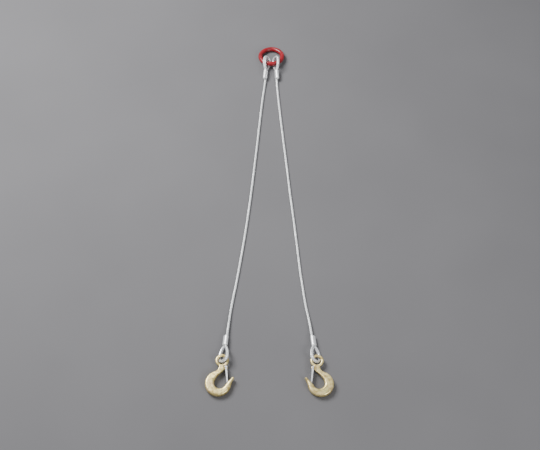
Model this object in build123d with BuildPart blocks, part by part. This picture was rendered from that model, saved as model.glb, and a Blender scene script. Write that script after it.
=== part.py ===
from build123d import *
import os
from math import acos, asin, atan2, cos, degrees, hypot, pi, radians, sin, tan

os.makedirs("parts", exist_ok=True)

# Two-leg wire rope sling lying flat: a master ring, two rope legs with thimbled eyes, and an
# eye hook with a safety latch on each leg. Millimetres. Origin under the middle of the whole
# sling, +Y from the hooks to the ring, +Z up from the surface that it lies on.

# Wire rope
rope_diameter = 6.0
strand_gap = 0.4                # between the two rope parts inside a ferrule
dead_end = 1.5                  # how far the cut end stands out of the ferrule

# Master ring
ring_bar = 13.0
ring_bore = 52.0
ring_play = 1.2                 # between the ring bar and the thimble, each side
seat_back = 7.0                 # from the widest part of the eye back to the ring bar

# Eyes and thimbles
upper_lean = 60.0               # how far the live rope dips below level, across the eye
lower_lean = 42.0               # how far the live rope stands above level, across the eye
throat_bend = 9.0               # bend radius of the rope as it leaves the ferrule
shoulder_bend = 48.0            # bend radius of the long sides of the eye
thimble_wall = 1.4
groove_clearance = 0.1

# Ferrules
ferrule_length = 29.0
ferrule_edge = 0.9              # metal outside the rope, along the long side of the section
ferrule_side = 2.5              # metal outside the rope, along the short side
ferrule_round = 1.8
bore_clearance = 0.02

# Hooks
hook_eye_bore = 20.0
hook_eye_bar = 7.2
hook_slack = 10.5               # from the middle of the thimble's crown to the hook eye centre
hook_drop = 0.9                 # the hook eye hangs this far below the middle of the crown
hook_outward = 2.0              # and this far outside it
hook_thickness = 15.0
neck_thickness = 8.4
neck_start = 10.0               # the flat neck, from the hook eye centre
neck_end = 27.0
body_start = 50.0               # the body has its full thickness from here
body_end = 100.0
hook_round = 4.5                # rounding of the body's edges, made in steps
hook_steps = 5
heel_distance = 92.0            # from the hook eye centre to where the bowl rests
tip_root = (9.5, -66.0)         # inside of the tip, from the bowl
tip_end = (25.0, -47.6)         # to the tip's end

# Safety latch, its pin and its spring
pin_across = 10.5               # pin centre from the hook eye centre, towards the tip
pin_along = 19.5                # pin centre from the hook eye centre, towards the bowl
pin_diameter = 4.0
pin_head = 6.4
pin_head_height = 1.2
pin_head_round = 0.84
latch_bore_clearance = 0.08
latch_length = 38.6
latch_depth = 4.6
latch_end_depth = 3.0
latch_sheet = 1.4
latch_tip_gap = 0.3             # between the closed latch and the inside of the hook's tip
latch_side_gap = 0.3
lug_low = 4.6                   # the lug from the middle of the hook, on its plain side
lug_high = 1.4                  # and on the spring's side
lug_radius = 4.4
lug_root = (3.0, -13.0)         # where the lug joins the neck, from the hook eye centre
lug_foot = (2.0, -27.0)
ear_radius = 3.2
web_start = 6.5                 # the web of the latch begins this far from the pin
head_clearance = 0.2
spring_wire = 0.6
spring_turns = 3
spring_bore_gap = 0.25
spring_side_gap = 0.3
spring_long_leg = 4.0
spring_short_leg = 2.5

# Routes of the two free ropes, from the upper ferrule to the lower one
left_route = [
    (-17.4, 447.8, 5.85), (-19.7, 422.8, 3.0), (-24.7, 379.8, 3.0), (-31.8, 298.8, 3.0),
    (-38.5, 214.8, 3.0), (-45.8, 128.8, 3.0), (-53.6, 43.8, 3.0), (-62.0, -40.2, 3.0),
    (-72.0, -123.2, 3.0), (-83.6, -209.2, 3.0), (-92.0, -265.2, 3.0), (-100.8, -319.2, 3.0),
    (-106.5, -372.7, 5.7), (-109.1, -402.7, 8.9),
]
right_route = [
    (15.6, 447.8, 5.85), (17.5, 422.8, 3.0), (20.7, 379.8, 3.0), (28.4, 296.8, 3.0),
    (37.0, 210.8, 3.0), (45.8, 125.8, 3.0), (53.9, 41.8, 3.0), (63.3, -43.2, 3.0),
    (72.1, -128.2, 3.0), (80.0, -211.2, 3.0), (86.6, -263.2, 3.0), (93.8, -316.2, 3.0),
    (104.8, -372.7, 5.7), (107.9, -402.7, 8.9),
]

rope_radius = rope_diameter / 2
strand_offset = rope_radius + strand_gap / 2
groove_radius = rope_radius + groove_clearance
thimble_radius = groove_radius + thimble_wall
crown_radius = (ring_bar / 2 + thimble_radius + ring_play) / sin(radians(upper_lean))
splay = degrees(acos(1 - (crown_radius - strand_offset) / (throat_bend + shoulder_bend)))
crown_centre = (throat_bend + shoulder_bend) * sin(radians(splay))
ring_seat = crown_centre - seat_back
ferrule_width = 2 * (strand_offset + rope_radius + ferrule_edge)
ferrule_height = rope_diameter + 2 * ferrule_side


def finish(piece, name):
    """Label a finished piece and write it as a STEP file."""
    piece.part.label = name
    export_step(piece.part, f"parts/{name}.step")


def eye_plane(before, mouth, side, lean):
    """Plane of an eye: origin on the live rope at the ferrule's mouth, x along the eye, and
    y from the dead rope to the live one, leaning up from level by the given angle."""
    along = (Vector(*mouth) - Vector(*before)).normalized()
    inward = along.cross(Vector(0, 0, side)).normalized()
    inward = inward * (-1 if inward.X * side > 0 else 1)
    up = along.cross(inward)
    up = up * (-1 if up.Z < 0 else 1)
    across = inward * cos(radians(lean)) + up * sin(radians(lean))
    return Plane(origin=Vector(*mouth), x_dir=along, z_dir=along.cross(across))


def sweep_plane(path, across=None):
    """Plane square to the start of a path."""
    if across is None:
        return Plane(origin=path @ 0, z_dir=path % 0)
    return Plane(origin=path @ 0, z_dir=path % 0, x_dir=across)


def route_radii(route):
    """Bend radius at each corner of a route, as large as its two runs allow."""
    points = [Vector(*point) for point in route]
    radii = []
    for first, corner, last in zip(points, points[1:], points[2:]):
        run_in, run_out = corner - first, last - corner
        turn = radians(run_in.get_angle(run_out))
        radii.append(0.45 * min(run_in.length, run_out.length) / tan(turn / 2))
    return radii


# The eye's centreline, in its own plane: live rope, both shoulders round the crown, dead rope
with BuildLine() as strand:
    live = Line((0, 0), (ferrule_length, 0))
    opening = JernArc(live @ 1, live % 1, throat_bend, splay)
    shoulder = JernArc(opening @ 1, opening % 1, shoulder_bend, -splay)
    crown = JernArc(shoulder @ 1, shoulder % 1, crown_radius, -180)
    closing_shoulder = JernArc(crown @ 1, crown % 1, shoulder_bend, -splay)
    closing = JernArc(closing_shoulder @ 1, closing_shoulder % 1, throat_bend, splay)
    Line(closing @ 1, closing @ 1 - Vector(ferrule_length + dead_end, 0))

with BuildLine() as groove:
    near_side = JernArc(shoulder @ 0, shoulder % 0, shoulder_bend, -splay)
    round_end = JernArc(near_side @ 1, near_side % 1, crown_radius, -180)
    far_side = JernArc(round_end @ 1, round_end % 1, shoulder_bend, -splay)


def build_eye(loop, name):
    """The rope of one eye, with both rope parts inside the ferrule."""
    path = loop * strand.line
    with BuildPart() as eye:
        with BuildSketch(sweep_plane(path)):
            Circle(rope_radius)
        sweep(path=path)
    finish(eye, name)


def build_thimble(loop, name):
    """The grooved thimble inside one eye."""
    path = loop * groove.line
    with BuildPart() as thimble:
        with BuildSketch(sweep_plane(path, loop.z_dir)):
            Circle(thimble_radius)
            Circle(groove_radius, mode=Mode.SUBTRACT)
            Rectangle(3 * thimble_radius, 2 * thimble_radius, mode=Mode.SUBTRACT,
                      align=(Align.CENTER, Align.MAX))
        sweep(path=path)
    finish(thimble, name)


def build_ferrule(loop, name):
    """The pressed sleeve that holds the two rope parts of one eye."""
    middle = loop.from_local_coords(Vector(0, -strand_offset, 0))
    mouth = Plane(origin=middle, x_dir=loop.y_dir, z_dir=loop.x_dir)
    with BuildPart() as ferrule:
        with BuildSketch(mouth):
            SlotOverall(ferrule_width, ferrule_height)
        extrude(amount=ferrule_length)
        ends = ferrule.faces().sort_by(Axis(middle, loop.x_dir))
        fillet(ends[0].edges() + ends[-1].edges(), ferrule_round)
        with BuildSketch(mouth):
            with Locations((strand_offset, 0), (-strand_offset, 0)):
                Circle(rope_radius + bore_clearance)
        extrude(amount=ferrule_length, mode=Mode.SUBTRACT)
    finish(ferrule, name)


def build_rope(route, name):
    """The free rope of one leg, from ferrule to ferrule."""
    radii = route_radii(route)
    print(name, "bend radii", [round(radius) for radius in radii])
    with BuildLine() as run:
        FilletPolyline(*route, radius=radii)
    path = run.line
    with BuildPart() as rope:
        with BuildSketch(sweep_plane(path)):
            Circle(rope_radius)
        sweep(path=path)
    length = sum(edge.length for edge in path.edges())
    print(name, "length", round(length, 1), "volume over section times length",
          round(rope.part.volume / (length * pi * rope_radius ** 2), 5))
    finish(rope, name)


sides = {"left": (-1, left_route), "right": (1, right_route)}
upper_loops, lower_loops = {}, {}
for side_name, (side, route) in sides.items():
    upper_loops[side_name] = eye_plane(route[1], route[0], side, -upper_lean)
    lower_loops[side_name] = eye_plane(route[-2], route[-1], side, lower_lean)

# Master ring, level enough to lie on the surface at its far end and on both eyes at this end
seats = [loop.from_local_coords(Vector(ferrule_length + ring_seat, -strand_offset, 0))
         for loop in upper_loops.values()]
ring_radius = (ring_bore + ring_bar) / 2
seat_across = (seats[1].X - seats[0].X) / 2
seat_height = (seats[0].Z + seats[1].Z) / 2
seat_angle = asin(seat_across / ring_radius)
ring_tilt = asin((seat_height - ring_bar / 2) / (ring_radius * (1 + cos(seat_angle))))
ring_centre = Vector(
    (seats[0].X + seats[1].X) / 2,
    (seats[0].Y + seats[1].Y) / 2 + ring_radius * cos(seat_angle) * cos(ring_tilt),
    ring_bar / 2 + ring_radius * sin(ring_tilt),
)
ring_plane = Plane(origin=ring_centre, x_dir=(1, 0, 0), z_dir=(0, sin(ring_tilt), cos(ring_tilt)))
with BuildPart(ring_plane) as master_ring:
    Torus(ring_radius, ring_bar / 2)
finish(master_ring, "master_ring")
print("ring centre", ring_centre, "tilt", degrees(ring_tilt), "seats", seats)


def hook_plane(loop, side):
    """Plane of a hook: origin at its eye centre, x towards the tip, y towards the leg. The
    eye is held up by the rope under it and the bowl rests on the surface."""
    crown_middle = loop.from_local_coords(Vector(ferrule_length + crown_centre, -strand_offset, 0))
    reach = Vector(loop.x_dir.X, loop.x_dir.Y, 0).normalized() * hook_slack
    eye = crown_middle + reach + Vector(side * hook_outward, 0, -hook_drop)
    pitch = asin((eye.Z - hook_thickness / 2) / heel_distance)
    return Plane(origin=eye, x_dir=(-side, 0, 0), z_dir=(0, side * sin(pitch), -side * cos(pitch)))


# The hook's outline, from the neck round the throat, the tip, the bowl and the back
with BuildSketch() as hook_outline:
    with BuildLine():
        throat = Line((5, -26), (-7.5, -38.5))
        back = TangentArc(throat @ 1, (-18.3, -59), tangent=throat % 1)
        bowl = TangentArc(back @ 1, tip_root, tangent=back % 1)
        Line(tip_root, tip_end)
        ThreePointArc(tip_end, (29.2, -45.4), (31.4, -49.2))
        ThreePointArc((31.4, -49.2), (26.8, -57), (24, -65.4))
        body = ThreePointArc((24, -65.4), (-9, -95.5), (-41.3, -66))
        shoulder_line = TangentArc(body @ 1, (-19, -31.6), tangent=body % 1)
        neck = TangentArc(shoulder_line @ 1, (-7.4, -19), tangent=shoulder_line % 1)
        Polyline(neck @ 1, (-7, -14), (5, -14), throat @ 0)
    make_face()


def build_hook(plane, name):
    """The forged eye hook with its latch lug."""
    eye_radius = (hook_eye_bore + hook_eye_bar) / 2
    with BuildPart(plane) as hook:
        for step in range(hook_steps):
            slope = 0.5 * pi * (step + 0.5) / hook_steps
            with BuildSketch(plane):
                add(hook_outline.sketch)
                offset(amount=-hook_round * (1 - cos(slope)))
            extrude(amount=hook_thickness / 2 - hook_round * (1 - sin(slope)), both=True)
        side_plane = Plane(origin=plane.origin, x_dir=plane.y_dir, z_dir=plane.x_dir)
        with BuildSketch(side_plane):
            with BuildLine():
                Polyline((-neck_start, 0), (-neck_start, neck_thickness / 2),
                         (-neck_end, neck_thickness / 2), (-body_start, hook_thickness / 2),
                         (-body_end, hook_thickness / 2), (-body_end, 0), close=True)
            make_face()
            mirror(about=Plane.XZ)
        extrude(amount=body_end, both=True, mode=Mode.INTERSECT)
        Torus(eye_radius, hook_eye_bar / 2)
        with BuildSketch(plane.offset(-lug_low)):
            with Locations((pin_across, -pin_along)):
                Circle(lug_radius)
            with BuildLine():
                Polyline((pin_across - 1, -pin_along + lug_radius), lug_root, lug_foot,
                         (pin_across - 2, -pin_along - lug_radius + 0.5), close=True)
            make_face()
        extrude(amount=lug_low + lug_high)
        with BuildSketch(plane.offset(-lug_low)):
            with Locations((pin_across, -pin_along)):
                Circle(pin_diameter / 2 + bore_clearance)
        extrude(amount=lug_low + lug_high, mode=Mode.SUBTRACT)
    finish(hook, name)


# The closed latch leans until its end comes to the inside of the tip
flank_angle = atan2(tip_end[0] - tip_root[0], tip_end[1] - tip_root[1])
flank_reach = ((pin_across - tip_root[0]) * cos(flank_angle)
               + (pin_along + tip_root[1]) * sin(flank_angle))
latch_corner = hypot(latch_length, latch_depth / 2)
latch_lean = (asin((-latch_tip_gap - flank_reach) / latch_corner)
              - atan2(latch_depth / 2, latch_length) - flank_angle)
ear_inside = lug_low + latch_side_gap
ear_outside = ear_inside + latch_sheet


def latch_plane(plane):
    """Plane of a latch: origin at its pin, x along the closed latch, y out of the throat."""
    pin = plane.from_local_coords(Vector(pin_across, -pin_along, 0))
    along = plane.x_dir * sin(latch_lean) - plane.y_dir * cos(latch_lean)
    return Plane(origin=pin, x_dir=along, z_dir=plane.z_dir)


def build_latch(plane, name):
    """The sheet latch: a tapered channel with two ears on the pin."""
    web = latch_depth / 2
    with BuildPart() as latch:
        with BuildSketch(plane):
            with BuildLine():
                Polyline((0, web), (latch_length, web), (latch_length, web - latch_end_depth),
                         (0, -web), (0, web))
            make_face()
            Circle(ear_radius)
        extrude(amount=ear_outside, both=True)
        with BuildSketch(plane):
            with Locations((web_start, web - latch_sheet)):
                Rectangle(latch_length, latch_depth, align=(Align.MIN, Align.MAX))
            with Locations((web_start, 0)):
                Rectangle(web_start + 2 * ear_radius, 4 * ear_radius,
                          align=(Align.MAX, Align.CENTER))
        extrude(amount=ear_inside, both=True, mode=Mode.SUBTRACT)
        with BuildSketch(plane):
            Circle(pin_diameter / 2 + latch_bore_clearance)
        extrude(amount=ear_outside, both=True, mode=Mode.SUBTRACT)
    finish(latch, name)


def build_pin(plane, name):
    """The rivet that holds the latch, with a domed head at each end."""
    head = ear_outside + head_clearance
    with BuildPart() as pin:
        with BuildSketch(plane):
            Circle(pin_diameter / 2)
        extrude(amount=head, both=True)
        with BuildSketch(plane.offset(head)):
            Circle(pin_head / 2)
        extrude(amount=pin_head_height)
        with BuildSketch(plane.offset(-head)):
            Circle(pin_head / 2)
        extrude(amount=-pin_head_height)
        ends = pin.faces().sort_by(Axis(plane.origin, plane.z_dir))
        fillet(ends[0].edges() + ends[-1].edges(), pin_head_round)
    finish(pin, name)


def build_spring(plane, name):
    """The torsion spring on the pin, between the lug and the latch's ear."""
    pitch = (ear_inside - lug_high - 2 * spring_side_gap - spring_wire) / spring_turns
    coil_radius = pin_diameter / 2 + spring_bore_gap + spring_wire / 2
    base = lug_high + spring_side_gap + spring_wire / 2
    with BuildLine() as wire:
        coil = Helix(pitch, pitch * spring_turns, coil_radius, center=(0, 0, base))
        Line(coil @ 1, coil @ 1 + (coil % 1) * spring_long_leg)
        Line(coil @ 0 - (coil % 0) * spring_short_leg, coil @ 0)
    path = plane * wire.line
    with BuildPart() as spring:
        with BuildSketch(sweep_plane(path)):
            Circle(spring_wire / 2)
        sweep(path=path)
    finish(spring, name)


for side_name, (side, route) in sides.items():
    build_eye(upper_loops[side_name], f"{side_name}_upper_eye")
    build_eye(lower_loops[side_name], f"{side_name}_lower_eye")
    build_thimble(upper_loops[side_name], f"{side_name}_upper_thimble")
    build_thimble(lower_loops[side_name], f"{side_name}_lower_thimble")
    build_ferrule(upper_loops[side_name], f"{side_name}_upper_ferrule")
    build_ferrule(lower_loops[side_name], f"{side_name}_lower_ferrule")
    build_rope(route, f"{side_name}_rope")
    hook_at = hook_plane(lower_loops[side_name], side)
    print("hook eye", side_name, hook_at.origin)
    build_hook(hook_at, f"{side_name}_hook")
    latch_at = latch_plane(hook_at)
    build_latch(latch_at, f"{side_name}_latch")
    build_pin(latch_at, f"{side_name}_latch_pin")
    build_spring(latch_at, f"{side_name}_latch_spring")
    print(side_name, "latch pin", latch_at.origin, "axis", latch_at.z_dir)
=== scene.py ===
"""Two-leg wire rope sling: red master ring, stranded rope legs, thimbled eyes and latch hooks.

Lengths are in metres. X runs across the legs, Y from the hooks to the ring, Z up.
"""

from __future__ import annotations

import logging
import math
from dataclasses import dataclass, field
from enum import Enum

import bmesh
import bpy
from mathutils import Matrix, Vector

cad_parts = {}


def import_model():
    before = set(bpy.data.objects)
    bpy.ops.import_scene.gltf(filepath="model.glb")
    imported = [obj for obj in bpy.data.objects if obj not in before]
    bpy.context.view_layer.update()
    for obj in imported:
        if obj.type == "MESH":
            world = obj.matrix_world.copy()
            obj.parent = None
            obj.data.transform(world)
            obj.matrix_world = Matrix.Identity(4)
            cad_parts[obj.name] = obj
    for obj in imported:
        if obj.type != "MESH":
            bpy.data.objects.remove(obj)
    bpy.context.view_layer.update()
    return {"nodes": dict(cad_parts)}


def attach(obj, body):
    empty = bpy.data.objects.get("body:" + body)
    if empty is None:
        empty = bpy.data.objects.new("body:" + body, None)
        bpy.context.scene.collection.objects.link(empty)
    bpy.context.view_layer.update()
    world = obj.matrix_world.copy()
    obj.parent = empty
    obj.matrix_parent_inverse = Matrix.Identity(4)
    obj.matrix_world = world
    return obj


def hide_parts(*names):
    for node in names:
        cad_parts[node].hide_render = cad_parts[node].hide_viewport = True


log = logging.getLogger("sling")

MM = 0.001
MERGE = 1e-6
Colour = tuple[float, float, float]
Socket = bpy.types.NodeSocket
Route = tuple[tuple[float, float, float], ...]


class Side(Enum):
    """The two legs, with the sign of X on each."""

    LEFT = -1
    RIGHT = 1

    @property
    def label(self) -> str:
        """The side's name as it begins a node's name."""
        return self.name.lower()


class EyeEnd(Enum):
    """The two eyes of a leg, with how far the live rope stands above level, in degrees."""

    UPPER = -60.0
    LOWER = 42.0

    @property
    def label(self) -> str:
        """The eye's name as it stands in a node's name."""
        return self.name.lower()


LEFT_ROUTE: Route = (
    (-0.0174, 0.4478, 0.00585), (-0.0197, 0.4228, 0.003), (-0.0247, 0.3798, 0.003),
    (-0.0318, 0.2988, 0.003), (-0.0385, 0.2148, 0.003), (-0.0458, 0.1288, 0.003),
    (-0.0536, 0.0438, 0.003), (-0.062, -0.0402, 0.003), (-0.072, -0.1232, 0.003),
    (-0.0836, -0.2092, 0.003), (-0.092, -0.2652, 0.003), (-0.1008, -0.3192, 0.003),
    (-0.1065, -0.3727, 0.0057), (-0.1091, -0.4027, 0.0089),
)
RIGHT_ROUTE: Route = (
    (0.0156, 0.4478, 0.00585), (0.0175, 0.4228, 0.003), (0.0207, 0.3798, 0.003),
    (0.0284, 0.2968, 0.003), (0.037, 0.2108, 0.003), (0.0458, 0.1258, 0.003),
    (0.0539, 0.0418, 0.003), (0.0633, -0.0432, 0.003), (0.0721, -0.1282, 0.003),
    (0.08, -0.2112, 0.003), (0.0866, -0.2632, 0.003), (0.0938, -0.3162, 0.003),
    (0.1048, -0.3727, 0.0057), (0.1079, -0.4027, 0.0089),
)
ROUTES: dict[Side, Route] = {Side.LEFT: LEFT_ROUTE, Side.RIGHT: RIGHT_ROUTE}
ROUTE_STEPS = 24


class ShaderGraph:
    """A material's node tree, with the few nodes that the finishes are made of."""

    def __init__(self, name: str) -> None:
        """Start a material with one Principled shader.

        Args:
            name: The material's name.
        """
        self.material = bpy.data.materials.new(name)
        self.material.use_nodes = True
        self.tree = self.material.node_tree
        self.shader = self.tree.nodes["Principled BSDF"]
        self.coordinates = self.tree.nodes.new("ShaderNodeTexCoord")

    def settings(self, **values: float) -> None:
        """Set constants on the shader's own sockets, with _ for a space in a socket's name."""
        for key, value in values.items():
            self.shader.inputs[key.replace("_", " ")].default_value = value

    def noise(self, scale: float, detail: float = 4.0,
              stretch: Colour = (1.0, 1.0, 1.0)) -> Socket:
        """Noise in the piece's own coordinates.

        Args:
            scale: Cells per metre.
            detail: Octaves of finer noise.
            stretch: Scale of the pattern along each axis.

        Returns:
            The noise's value socket.
        """
        mapping = self.tree.nodes.new("ShaderNodeMapping")
        mapping.inputs["Scale"].default_value = stretch
        texture = self.tree.nodes.new("ShaderNodeTexNoise")
        texture.inputs["Scale"].default_value = scale
        texture.inputs["Detail"].default_value = detail
        self.tree.links.new(self.coordinates.outputs["Object"], mapping.inputs["Vector"])
        self.tree.links.new(mapping.outputs["Vector"], texture.inputs["Vector"])
        return texture.outputs["Fac"]

    def ramp(self, value: Socket, low: float, high: float, first: Colour,
             last: Colour) -> Socket:
        """A colour that runs from first to last as value goes from low to high.

        Args:
            value: The socket that drives the colour.
            low: Where the first colour ends.
            high: Where the last colour begins.
            first: The colour at low.
            last: The colour at high.

        Returns:
            The ramp's colour socket.
        """
        node = self.tree.nodes.new("ShaderNodeValToRGB")
        node.color_ramp.elements[0].position = low
        node.color_ramp.elements[1].position = high
        node.color_ramp.elements[0].color = (*first, 1.0)
        node.color_ramp.elements[1].color = (*last, 1.0)
        self.tree.links.new(value, node.inputs["Fac"])
        return node.outputs["Color"]

    def levels(self, value: Socket, low: float, high: float, to_low: float,
               to_high: float) -> Socket:
        """A number that runs from to_low to to_high as value goes from low to high.

        Args:
            value: The socket that drives the number.
            low: The value that gives to_low.
            high: The value that gives to_high.
            to_low: The number at low.
            to_high: The number at high.

        Returns:
            The number's socket.
        """
        node = self.tree.nodes.new("ShaderNodeMapRange")
        for key, number in zip(("From Min", "From Max", "To Min", "To Max"),
                               (low, high, to_low, to_high)):
            node.inputs[key].default_value = number
        self.tree.links.new(value, node.inputs["Value"])
        return node.outputs["Result"]

    def mix(self, factor: Socket, first: Socket, second: Socket) -> Socket:
        """A mix of two colour sockets by a factor socket.

        Args:
            factor: How much of the second colour shows.
            first: The colour at factor 0.
            second: The colour at factor 1.

        Returns:
            The mixed colour's socket.
        """
        node = self.tree.nodes.new("ShaderNodeMix")
        node.data_type = "RGBA"
        self.tree.links.new(factor, node.inputs["Factor"])
        self.tree.links.new(first, node.inputs[6])
        self.tree.links.new(second, node.inputs[7])
        return node.outputs[2]

    def math(self, operation: str, first: Socket, second: Socket | float = 0.0) -> Socket:
        """One Math node, whose second input is a number or a socket.

        Args:
            operation: What the node does.
            first: Its first input.
            second: Its second input.

        Returns:
            The result's socket.
        """
        node = self.tree.nodes.new("ShaderNodeMath")
        node.operation = operation
        self.tree.links.new(first, node.inputs[0])
        if isinstance(second, (int, float)):
            node.inputs[1].default_value = second
        else:
            self.tree.links.new(second, node.inputs[1])
        return node.outputs["Value"]

    def bump(self, height: Socket, distance: float, strength: float,
             below: Socket | None = None) -> Socket:
        """A bump from a height socket.

        Args:
            height: The height's socket.
            distance: The bump's depth in metres.
            strength: How strongly the bump shows.
            below: The normal socket of a bump that this one lies on.

        Returns:
            The normal's socket.
        """
        node = self.tree.nodes.new("ShaderNodeBump")
        node.inputs["Distance"].default_value = distance
        node.inputs["Strength"].default_value = strength
        self.tree.links.new(height, node.inputs["Height"])
        if below is not None:
            self.tree.links.new(below, node.inputs["Normal"])
        return node.outputs["Normal"]

    def connect(self, **sockets: Socket) -> None:
        """Link sockets to the shader, with _ for a space in an input's name."""
        for key, socket in sockets.items():
            self.tree.links.new(socket, self.shader.inputs[key.replace("_", " ")])


@dataclass(frozen=True)
class RedPaint:
    """Glossy red paint on forged steel, with a slight orange peel and a few small chips."""

    name: str = "ring_red"
    fresh: Colour = (0.27, 0.002, 0.009)
    dull: Colour = (0.17, 0.002, 0.006)
    bare: Colour = (0.33, 0.31, 0.29)
    bright: Colour = (0.45, 0.43, 0.41)
    cloud_scale: float = 70.0
    chip_scale: float = 420.0
    chip_edge: tuple[float, float] = (0.715, 0.735)
    chip_depth: float = 0.2 * MM
    peel_scale: float = 900.0

    def make(self) -> bpy.types.Material:
        """Build the material and return it."""
        graph = ShaderGraph(self.name)
        graph.settings(Metallic=0.0, Specular_IOR_Level=0.4, Coat_Weight=0.2, Coat_Roughness=0.12)
        colour = graph.ramp(graph.noise(self.cloud_scale), 0.35, 0.7, self.dull, self.fresh)
        chips = graph.noise(self.chip_scale, 6.0)
        steel = graph.ramp(chips, 0.2, 0.8, self.bare, self.bright)
        worn = graph.levels(chips, *self.chip_edge, 0.0, 1.0)
        peel = graph.bump(graph.noise(self.peel_scale, 2.0), 0.2 * MM, 0.25)
        chipped = graph.bump(graph.levels(chips, 0.70, 0.73, 1.0, 0.0),
                             self.chip_depth, 0.5, peel)
        graph.connect(
            Base_Color=graph.mix(worn, colour, steel),
            Roughness=graph.levels(graph.noise(160.0), 0.3, 0.7, 0.26, 0.42),
            Normal=chipped,
        )
        return graph.material


@dataclass(frozen=True)
class YellowZinc:
    """Pale yellow chromate over zinc on forged steel: cloudy, with a faint pink and green."""

    name: str = "hook_gold"
    pale: Colour = (0.88, 0.74, 0.34)
    deep: Colour = (0.40, 0.28, 0.08)
    pink: Colour = (0.80, 0.52, 0.34)
    green: Colour = (0.50, 0.50, 0.20)
    blotch_scale: float = 120.0
    tint_scale: float = 95.0
    cloud_scale: float = 33.0
    scale_size: float = 260.0
    scale_depth: float = 0.4 * MM
    grain_size: float = 1500.0
    grain_depth: float = 0.1 * MM

    def make(self) -> bpy.types.Material:
        """Build the material and return it."""
        graph = ShaderGraph(self.name)
        graph.settings(Metallic=0.72)
        base = graph.ramp(graph.noise(self.blotch_scale, 5.0), 0.28, 0.62, self.deep, self.pale)
        tint = graph.ramp(graph.noise(self.tint_scale, 3.0), 0.4, 0.6, self.green, self.pink)
        cloud = graph.levels(graph.noise(self.cloud_scale, 2.0), 0.45, 0.75, 0.0, 0.55)
        scale = graph.bump(graph.noise(self.scale_size, 5.0), self.scale_depth, 0.35)
        grain = graph.bump(graph.noise(self.grain_size, 3.0), self.grain_depth, 0.3, scale)
        graph.connect(
            Base_Color=graph.mix(cloud, base, tint),
            Roughness=graph.levels(graph.noise(180.0), 0.3, 0.7, 0.26, 0.44),
            Normal=grain,
        )
        return graph.material


@dataclass(frozen=True)
class Zinc:
    """Zinc or bright steel, cloudy in its colour and roughness, with fine scratches."""

    name: str
    light: Colour
    dark: Colour
    rough: float
    cell: float = 260.0
    scratch_scale: float = 2200.0
    scratch_depth: float = 0.1 * MM

    def make(self) -> bpy.types.Material:
        """Build the material and return it."""
        graph = ShaderGraph(self.name)
        graph.settings(Metallic=0.65)
        scratches = graph.noise(self.scratch_scale, 2.0, (1.0, 0.06, 1.0))
        graph.connect(
            Base_Color=graph.ramp(graph.noise(self.cell, 5.0), 0.3, 0.7, self.dark, self.light),
            Roughness=graph.levels(graph.noise(0.6 * self.cell), 0.3, 0.7,
                                   self.rough - 0.07, self.rough + 0.12),
            Normal=graph.bump(scratches, self.scratch_depth, 0.35),
        )
        return graph.material


@dataclass(frozen=True)
class PressedAluminium:
    """Soft aluminium as the press leaves it: long drag marks and small dents."""

    name: str = "ferrule_alloy"
    light: Colour = (0.93, 0.93, 0.93)
    dark: Colour = (0.74, 0.75, 0.76)
    drag_scale: float = 900.0
    drag_depth: float = 0.15 * MM
    dent_scale: float = 210.0
    dent_depth: float = 0.6 * MM

    def make(self) -> bpy.types.Material:
        """Build the material and return it."""
        graph = ShaderGraph(self.name)
        graph.settings(Metallic=0.7)
        drag = graph.noise(self.drag_scale, 4.0, (1.0, 0.12, 1.0))
        dents = graph.bump(graph.noise(self.dent_scale, 2.0), self.dent_depth, 0.35)
        graph.connect(
            Base_Color=graph.ramp(drag, 0.3, 0.7, self.dark, self.light),
            Roughness=graph.levels(graph.noise(320.0), 0.3, 0.7, 0.30, 0.48),
            Normal=graph.bump(drag, self.drag_depth, 0.4, dents),
        )
        return graph.material


@dataclass(frozen=True)
class WireZinc:
    """Galvanised strands: single wires laid round each strand, by the rope's own UV map.

    U is the length along the strand in metres and V goes once round it.
    The grooves between the wires are darkened with painted shade.
    """

    name: str = "rope_zinc"
    light: Colour = (0.93, 0.94, 0.94)
    dull: Colour = (0.74, 0.75, 0.75)
    # dark is the painted shade laid into the grooves between the wires.
    dark: Colour = (0.40, 0.40, 0.41)
    wires: float = 9.0
    wire_lay: float = 14.0 * MM
    wire_depth: float = 0.16 * MM
    patch_scale: float = 60.0

    def make(self) -> bpy.types.Material:
        """Build the material and return it."""
        graph = ShaderGraph(self.name)
        graph.settings(Metallic=0.6)
        split = graph.tree.nodes.new("ShaderNodeSeparateXYZ")
        graph.tree.links.new(graph.coordinates.outputs["UV"], split.inputs[0])
        around = graph.math("MULTIPLY", split.outputs["Y"], math.pi * self.wires)
        along = graph.math("MULTIPLY", split.outputs["X"], math.pi * self.wires / self.wire_lay)
        wave = graph.math("ABSOLUTE", graph.math("SINE", graph.math("ADD", around, along)))
        patches = graph.ramp(graph.noise(self.patch_scale, 4.0), 0.3, 0.75, self.dull, self.light)
        # Painted shade: the colour darkens towards dark in the grooves between the wires.
        painted_groove_shade = graph.ramp(wave, 0.0, 0.45, self.dark, (1.0, 1.0, 1.0))
        product = graph.tree.nodes.new("ShaderNodeMix")
        product.data_type = "RGBA"
        product.blend_type = "MULTIPLY"
        product.inputs["Factor"].default_value = 1.0
        graph.tree.links.new(patches, product.inputs[6])
        graph.tree.links.new(painted_groove_shade, product.inputs[7])
        graph.connect(
            Base_Color=product.outputs[2],
            Roughness=graph.levels(graph.noise(150.0), 0.3, 0.7, 0.32, 0.5),
            Normal=graph.bump(wave, self.wire_depth, 0.7),
        )
        return graph.material


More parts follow.
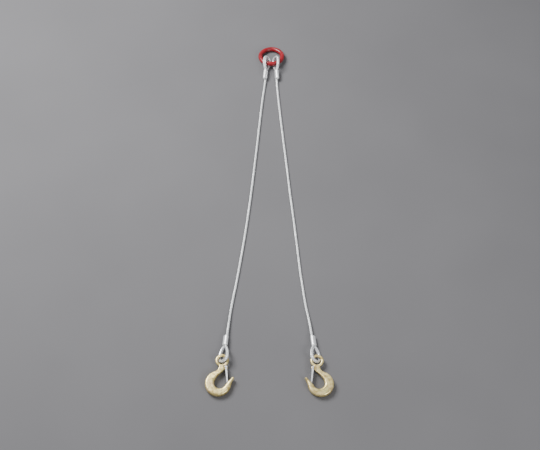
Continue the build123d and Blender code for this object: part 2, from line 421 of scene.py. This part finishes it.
@dataclass(frozen=True)
class StudioFloor:
    """A matt, mid-grey sheet of studio paper."""

    name: str = "floor_paper"
    light: Colour = (0.116, 0.114, 0.119)
    dark: Colour = (0.107, 0.105, 0.110)
    fibre_scale: float = 900.0
    fibre_depth: float = 0.2 * MM

    def make(self) -> bpy.types.Material:
        """Build the material and return it."""
        graph = ShaderGraph(self.name)
        graph.settings(Roughness=0.85)
        graph.connect(
            Base_Color=graph.ramp(graph.noise(3.0, 2.0), 0.3, 0.7, self.dark, self.light),
            Normal=graph.bump(graph.noise(self.fibre_scale, 2.0), self.fibre_depth, 0.15),
        )
        return graph.material


@dataclass
class FinishSet:
    """Every finish of the sling, made once."""

    red: bpy.types.Material = field(default_factory=lambda: RedPaint().make())
    gold: bpy.types.Material = field(default_factory=lambda: YellowZinc().make())
    wire: bpy.types.Material = field(default_factory=lambda: WireZinc().make())
    alloy: bpy.types.Material = field(default_factory=lambda: PressedAluminium().make())
    thimble: bpy.types.Material = field(default_factory=lambda: Zinc(
        "thimble_zinc", (0.94, 0.95, 0.96), (0.70, 0.71, 0.73), 0.26).make())
    latch: bpy.types.Material = field(default_factory=lambda: Zinc(
        "latch_zinc", (0.97, 0.97, 0.98), (0.82, 0.83, 0.85), 0.22).make())
    pin: bpy.types.Material = field(default_factory=lambda: Zinc(
        "pin_steel", (0.78, 0.78, 0.77), (0.58, 0.58, 0.57), 0.30).make())
    spring: bpy.types.Material = field(default_factory=lambda: Zinc(
        "spring_steel", (0.50, 0.50, 0.51), (0.32, 0.32, 0.33), 0.28).make())


def dress(piece: bpy.types.Object, material: bpy.types.Material) -> None:
    """Give a piece its one material.

    Args:
        piece: The piece.
        material: The material for all of it.
    """
    if not piece.material_slots:
        piece.data.materials.append(material)
    for slot in piece.material_slots:
        slot.material = material


def new_piece(name: str, mesh: bpy.types.Mesh, smooth: bool = True) -> bpy.types.Object:
    """Link a new piece whose object sits at the origin.

    Args:
        name: The piece's name.
        mesh: Its finished mesh.
        smooth: Whether its faces are shaded smooth.

    Returns:
        The new object.
    """
    for polygon in mesh.polygons:
        polygon.use_smooth = smooth
    piece = bpy.data.objects.new(name, mesh)
    bpy.context.scene.collection.objects.link(piece)
    return piece


def place(piece: bpy.types.Object, node: str, body: str) -> None:
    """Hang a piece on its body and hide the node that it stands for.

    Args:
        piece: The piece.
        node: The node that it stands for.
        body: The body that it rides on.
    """
    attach(piece, body)
    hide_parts(node)


def baked(piece: bpy.types.Object) -> bpy.types.Object:
    """Apply a piece's modifiers to its mesh.

    Args:
        piece: The piece, with its modifiers.

    Returns:
        The same piece, with the finished mesh and no modifiers.
    """
    graph = bpy.context.evaluated_depsgraph_get()
    mesh = bpy.data.meshes.new_from_object(piece.evaluated_get(graph))
    piece.modifiers.clear()
    piece.data = mesh
    for polygon in mesh.polygons:
        polygon.use_smooth = True
    return piece


def nurbs_line(route: Route) -> list[Vector]:
    """The smooth centreline of a free rope.

    Args:
        route: The control points.

    Returns:
        Points read from the route's NURBS spline, from the ring end to the hook end.
    """
    curve = bpy.data.curves.new("route", "CURVE")
    curve.dimensions = "3D"
    spline = curve.splines.new("NURBS")
    spline.points.add(len(route) - 1)
    for point, corner in zip(spline.points, route):
        point.co = (*corner, 1.0)
    spline.order_u = 3
    spline.use_endpoint_u = True
    spline.resolution_u = ROUTE_STEPS
    holder = bpy.data.objects.new("route", curve)
    bpy.context.scene.collection.objects.link(holder)
    bpy.context.view_layer.update()
    graph = bpy.context.evaluated_depsgraph_get()
    mesh = bpy.data.meshes.new_from_object(holder.evaluated_get(graph))
    points = [vertex.co.copy() for vertex in mesh.vertices]
    bpy.data.objects.remove(holder)
    bpy.data.meshes.remove(mesh)
    return points


def even_steps(points: list[Vector], step: float) -> list[Vector]:
    """The same line with its points a step apart.

    Args:
        points: The line's points.
        step: The longest distance between two points of the result.

    Returns:
        The new points, the two ends among them.
    """
    lengths = [0.0]
    for first, second in zip(points, points[1:]):
        lengths.append(lengths[-1] + (second - first).length)
    count = max(2, math.ceil(lengths[-1] / step))
    result: list[Vector] = []
    index = 0
    for number in range(count + 1):
        wanted = lengths[-1] * number / count
        while index < len(points) - 2 and lengths[index + 1] < wanted:
            index += 1
        span = max(lengths[index + 1] - lengths[index], 1e-9)
        result.append(points[index].lerp(points[index + 1], (wanted - lengths[index]) / span))
    return result


@dataclass
class LaidRope:
    """A length of wire rope, six strands laid round a seventh.

    Attributes:
        name: The piece's name.
        line: The rope's centreline.
        strand_radius: Radius of one strand.
        helix_radius: Distance of an outer strand from the centreline.
        lay: Length in which a strand goes once round.
    """

    name: str
    line: list[Vector]
    strand_radius: float = 1.0 * MM
    helix_radius: float = 2.0 * MM
    lay: float = 39.0 * MM
    strands: int = 6
    step: float = 2.2 * MM
    sides: int = 8

    def frames(self) -> list[tuple[Vector, Vector, Vector]]:
        """Find directions across the rope that don't twist along it.

        Returns:
            Each point of the line with its two directions.
        """
        points = even_steps(self.line, self.step)
        result: list[tuple[Vector, Vector, Vector]] = []
        across = Vector((0, 0, 1))
        for index, point in enumerate(points):
            before, after = points[max(index - 1, 0)], points[min(index + 1, len(points) - 1)]
            tangent = (after - before).normalized()
            across = (across - tangent * across.dot(tangent)).normalized()
            result.append((point, across.copy(), tangent.cross(across)))
        return result

    def mesh(self) -> bpy.types.Mesh:
        """Lay the strands round the line.

        Returns:
            One mesh of all strands, with a UV map along and round each.
        """
        frames = self.frames()
        spacing = (frames[1][0] - frames[0][0]).length
        curve = bpy.data.curves.new(self.name, "CURVE")
        curve.dimensions = "3D"
        curve.bevel_depth = self.strand_radius
        curve.bevel_resolution = self.sides // 2 - 2
        curve.use_fill_caps = True
        for strand in range(self.strands + 1):
            radius = 0.0 if strand == self.strands else self.helix_radius
            spline = curve.splines.new("POLY")
            spline.points.add(len(frames) - 1)
            for number, (centre, across, other) in enumerate(frames):
                angle = 2 * math.pi * (strand / self.strands + number * spacing / self.lay)
                offset = across * math.cos(angle) + other * math.sin(angle)
                spline.points[number].co = (*(centre + offset * radius), 1.0)
        holder = bpy.data.objects.new(self.name, curve)
        bpy.context.scene.collection.objects.link(holder)
        bpy.context.view_layer.update()
        graph = bpy.context.evaluated_depsgraph_get()
        mesh = bpy.data.meshes.new_from_object(holder.evaluated_get(graph))
        bpy.data.objects.remove(holder)
        self.unwrap(mesh, len(frames), spacing)
        return mesh

    def unwrap(self, mesh: bpy.types.Mesh, rings: int, spacing: float) -> None:
        """Write the UV map: U along the strand in metres, V once round it.

        Args:
            mesh: The mesh of all strands, ring after ring.
            rings: Number of rings in one strand.
            spacing: Distance between two rings.
        """
        layer = mesh.uv_layers[0] if mesh.uv_layers else mesh.uv_layers.new(name="strand")
        sides = len(mesh.vertices) // (rings * (self.strands + 1))
        for polygon in mesh.polygons:
            corners = [divmod(index, sides) for index in polygon.vertices]
            wraps = len({side for _, side in corners}) == 2 and sides - 1 in {s for _, s in corners}
            for loop, (ring, side) in zip(polygon.loop_indices, corners):
                turn = side + (sides if wraps and side == 0 else 0)
                layer.data[loop].uv = ((ring % rings) * spacing, turn / sides)


@dataclass
class EyeShape:
    """The teardrop of an eye and where it lies.

    Attributes:
        mouth: Live rope at the ferrule's mouth.
        before: The route's point before the mouth.
        side: Which leg.
        end: Which end of the leg.
    """

    mouth: Vector
    before: Vector
    side: Side
    end: EyeEnd
    ferrule_length: float = 29.0 * MM
    strand_offset: float = 3.2 * MM
    throat_bend: float = 9.0 * MM
    shoulder_bend: float = 48.0 * MM
    ring_bar: float = 13.0 * MM
    thimble_radius: float = 4.5 * MM
    ring_play: float = 1.2 * MM
    dead_end: float = 1.5 * MM
    throat_steps: int = 8
    bend_steps: int = 16

    @property
    def crown_radius(self) -> float:
        """Radius of the rope's centreline round the crown."""
        room = self.ring_bar / 2 + self.thimble_radius + self.ring_play
        return room / math.sin(math.radians(-EyeEnd.UPPER.value))

    def axes(self) -> tuple[Vector, Vector]:
        """Find how the eye lies.

        Returns:
            The directions along it, and from the dead rope to the live one.
        """
        along = (self.mouth - self.before).normalized()
        inward = along.cross(Vector((0, 0, 1))).normalized()
        inward = inward * (-1 if inward.x * self.side.value > 0 else 1)
        up = along.cross(inward)
        up = up * (-1 if up.z < 0 else 1)
        lean = math.radians(self.end.value)
        across = inward * math.cos(lean) + up * math.sin(lean)
        return along, across

    def point(self, reach: float, offset: float) -> Vector:
        """Place one point of the eye.

        Args:
            reach: How far it is past the mouth.
            offset: How far it is off the line between the two ropes.

        Returns:
            The point.
        """
        along, across = self.axes()
        return self.mouth - across * self.strand_offset + along * reach + across * offset

    def centreline(self) -> list[Vector]:
        """Draw the rope's centreline.

        Returns:
            Points from the mouth round the crown and back past the mouth.
        """
        bends = self.throat_bend + self.shoulder_bend
        splay = math.acos(1 - (self.crown_radius - self.strand_offset) / bends)
        crown = self.ferrule_length + bends * math.sin(splay)
        flat = [(0.0, self.strand_offset)]
        for number in range(self.throat_steps + 1):
            turn = splay * number / self.throat_steps
            flat.append((self.ferrule_length + self.throat_bend * math.sin(turn),
                         self.strand_offset + self.throat_bend * (1 - math.cos(turn))))
        for number in range(1, self.bend_steps + 1):
            turn = splay * (1 - number / self.bend_steps)
            flat.append((crown - self.shoulder_bend * math.sin(turn),
                         self.crown_radius - self.shoulder_bend * (1 - math.cos(turn))))
        for number in range(1, self.bend_steps + 1):
            turn = 0.5 * math.pi * number / self.bend_steps
            flat.append((crown + self.crown_radius * math.sin(turn),
                         self.crown_radius * math.cos(turn)))
        returning = [(reach, -offset) for reach, offset in reversed(flat[:-1])]
        returning[-1] = (-self.dead_end, -self.strand_offset)
        return [self.point(*pair) for pair in flat + returning]


@dataclass
class MasterRing:
    """The forged ring, with the swelling of its weld."""

    radius: float = 32.5 * MM
    bar: float = 6.5 * MM
    centre: Vector = field(default_factory=lambda: Vector((-0.465, 531.869, 10.882)) * MM)
    tilt: float = math.radians(7.7495)
    weld_height: float = 0.45 * MM
    weld_width: float = 3.2 * MM
    weld_at: float = 0.9
    turns: int = 160
    sides: int = 40

    def build(self, finishes: FinishSet) -> bpy.types.Object:
        """Spin the bar round the ring, swell the weld and dress it.

        Args:
            finishes: The sling's finishes.

        Returns:
            The ring.
        """
        bm = bmesh.new()
        bmesh.ops.create_circle(bm, segments=self.sides, radius=self.bar)
        bmesh.ops.rotate(bm, cent=(0, 0, 0), verts=bm.verts,
                         matrix=Matrix.Rotation(math.radians(90), 3, "X"))
        bmesh.ops.translate(bm, vec=(self.radius, 0, 0), verts=bm.verts)
        bmesh.ops.spin(bm, geom=bm.verts[:] + bm.edges[:], cent=(0, 0, 0), axis=(0, 0, 1),
                       angle=2 * math.pi, steps=self.turns, use_merge=True)
        bmesh.ops.remove_doubles(bm, verts=bm.verts, dist=MERGE)
        bmesh.ops.recalc_face_normals(bm, faces=bm.faces)
        for vertex in bm.verts:
            middle = Vector((vertex.co.x, vertex.co.y, 0)).normalized() * self.radius
            along = abs(math.atan2(middle.y, middle.x) - self.weld_at) * self.radius
            bead = math.exp(-((along / self.weld_width) ** 2)) * self.weld_height
            out = vertex.co - middle
            vertex.co = middle + out * (1 + bead / self.bar)
        bmesh.ops.rotate(bm, cent=(0, 0, 0), verts=bm.verts,
                         matrix=Matrix.Rotation(-self.tilt, 3, "X"))
        bmesh.ops.translate(bm, vec=self.centre, verts=bm.verts)
        mesh = bpy.data.meshes.new("master_ring_forging")
        bm.to_mesh(mesh)
        bm.free()
        ring = new_piece("master_ring_forging", mesh)
        dress(ring, finishes.red)
        place(ring, "master_ring", "master_ring")
        log.info("master ring: %d faces", len(mesh.polygons))
        return ring


@dataclass
class Leg:
    """One leg: its free rope, its two eyes with thimbles and ferrules."""

    side: Side
    finishes: FinishSet
    diameter: float = 6.0 * MM
    eye_step: float = 1.6 * MM

    @property
    def body(self) -> str:
        """The body that the leg rides on."""
        return f"{self.side.label}_leg"

    def free_rope(self) -> bpy.types.Object:
        """Lay the strands of the free rope along its route.

        Returns:
            The rope.
        """
        line = nurbs_line(ROUTES[self.side])
        name = f"{self.side.label}_rope"
        rope = new_piece(f"{name}_strands", LaidRope(name, line).mesh())
        dress(rope, self.finishes.wire)
        place(rope, name, self.body)
        log.info("%s: %d faces", name, len(rope.data.polygons))
        return rope

    def eye_shape(self, end: EyeEnd) -> EyeShape:
        """Find the eye at one end of the leg.

        Args:
            end: Which end.

        Returns:
            The eye's shape and place.
        """
        route = ROUTES[self.side]
        before, mouth = (route[1], route[0]) if end is EyeEnd.UPPER else (route[-2], route[-1])
        return EyeShape(Vector(mouth), Vector(before), self.side, end)

    def eye(self, end: EyeEnd) -> bpy.types.Object:
        """Lay the strands of one eye.

        Args:
            end: Which end of the leg.

        Returns:
            The eye's rope.
        """
        name = f"{self.side.label}_{end.label}"
        line = self.eye_shape(end).centreline()
        laid = LaidRope(f"{name}_eye", line, step=self.eye_step)
        eye = new_piece(f"{name}_eye_strands", laid.mesh())
        dress(eye, self.finishes.wire)
        place(eye, f"{name}_eye", self.body)
        log.info("%s eye: %d faces", name, len(eye.data.polygons))
        return eye

    def build(self, nodes: dict[str, bpy.types.Object]) -> None:
        """Build the whole leg and dress its thimbles and ferrules.

        Args:
            nodes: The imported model's nodes by name.
        """
        self.free_rope()
        for end in EyeEnd:
            self.eye(end)
            name = f"{self.side.label}_{end.label}"
            dress(nodes[f"{name}_thimble"], self.finishes.thimble)
            dress(nodes[f"{name}_ferrule"], self.finishes.alloy)


@dataclass
class LatchHook:
    """One eye hook with its latch, pin and spring."""

    side: Side
    finishes: FinishSet
    voxel: float = 0.7 * MM
    smoothing: int = 14
    smooth_share: float = 0.5

    def forging(self, node: bpy.types.Object) -> bpy.types.Object:
        """Make the hook with its corners round, as a forging leaves the dies.

        Args:
            node: The hook's node, whose shape is copied.

        Returns:
            The hook.
        """
        name = f"{self.side.label}_hook"
        bm = bmesh.new()
        bm.from_mesh(node.data)
        bmesh.ops.remove_doubles(bm, verts=bm.verts, dist=MERGE)
        mesh = bpy.data.meshes.new(f"{name}_forging")
        bm.to_mesh(mesh)
        bm.free()
        mesh.materials.clear()
        hook = new_piece(f"{name}_forging", mesh)
        remesh = hook.modifiers.new("remesh", "REMESH")
        remesh.mode = "VOXEL"
        remesh.voxel_size = self.voxel
        smooth = hook.modifiers.new("smooth", "SMOOTH")
        smooth.factor = self.smooth_share
        smooth.iterations = self.smoothing
        baked(hook)
        dress(hook, self.finishes.gold)
        place(hook, name, name)
        log.info("%s: %d faces", name, len(hook.data.polygons))
        return hook

    def build(self, nodes: dict[str, bpy.types.Object]) -> None:
        """Build the hook and dress what it carries.

        Args:
            nodes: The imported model's nodes by name.
        """
        label = self.side.label
        self.forging(nodes[f"{label}_hook"])
        dress(nodes[f"{label}_latch"], self.finishes.latch)
        dress(nodes[f"{label}_latch_pin"], self.finishes.pin)
        dress(nodes[f"{label}_latch_spring"], self.finishes.spring)


@dataclass
class Studio:
    """The floor, the lights and the camera."""

    camera_at: tuple[float, float, float] = (0.0083, -1.730, 2.620)
    pitch: float = 57.5
    yaw: float = 0.324
    lens: float = 75.87
    sensor: float = 36.0
    floor_half: float = 6.0
    sky: Colour = (0.9, 0.92, 0.95)
    sky_strength: float = 0.62

    def floor(self) -> None:
        """Lay the floor."""
        bm = bmesh.new()
        bmesh.ops.create_grid(bm, x_segments=1, y_segments=1, size=self.floor_half)
        mesh = bpy.data.meshes.new("studio_floor")
        bm.to_mesh(mesh)
        bm.free()
        floor = new_piece("studio_floor", mesh, smooth=False)
        dress(floor, StudioFloor().make())

    def light(self, name: str, at: tuple[float, float, float], size: float, power: float) -> None:
        """Hang one soft square lamp that faces the middle of the sling.

        Args:
            name: The lamp's name.
            at: Where it hangs.
            size: The length of its side.
            power: Its power in watts.
        """
        lamp = bpy.data.lights.new(name, "AREA")
        lamp.size = size
        lamp.energy = power
        holder = bpy.data.objects.new(name, lamp)
        holder.location = at
        holder.rotation_euler = (-Vector(at)).to_track_quat("-Z", "Y").to_euler()
        bpy.context.scene.collection.objects.link(holder)

    def camera(self) -> None:
        """Set up the camera."""
        data = bpy.data.cameras.new("camera")
        data.lens = self.lens
        data.sensor_width = self.sensor
        camera = bpy.data.objects.new("camera", data)
        camera.location = self.camera_at
        camera.rotation_euler = (math.radians(90 - self.pitch), 0.0, math.radians(self.yaw))
        bpy.context.scene.collection.objects.link(camera)
        bpy.context.scene.camera = camera

    def build(self) -> None:
        """Build the whole studio."""
        self.camera()
        self.floor()
        world = bpy.data.worlds.new("studio")
        world.use_nodes = True
        background = world.node_tree.nodes["Background"]
        background.inputs["Color"].default_value = (*self.sky, 1.0)
        background.inputs["Strength"].default_value = self.sky_strength
        bpy.context.scene.world = world
        self.light("key", (-1.3, 0.9, 2.0), 1.3, 140.0)
        self.light("fill", (1.5, -1.9, 1.6), 0.9, 34.0)


def main() -> None:
    """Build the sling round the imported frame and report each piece."""
    logging.basicConfig(level=logging.INFO, format="%(name)s: %(message)s")
    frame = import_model()
    nodes = frame["nodes"]
    Studio().build()
    finishes = FinishSet()
    for side in Side:
        Leg(side, finishes).build(nodes)
    MasterRing().build(finishes)
    for side in Side:
        LatchHook(side, finishes).build(nodes)
    bpy.context.view_layer.update()


if __name__ == "__main__":
    main()
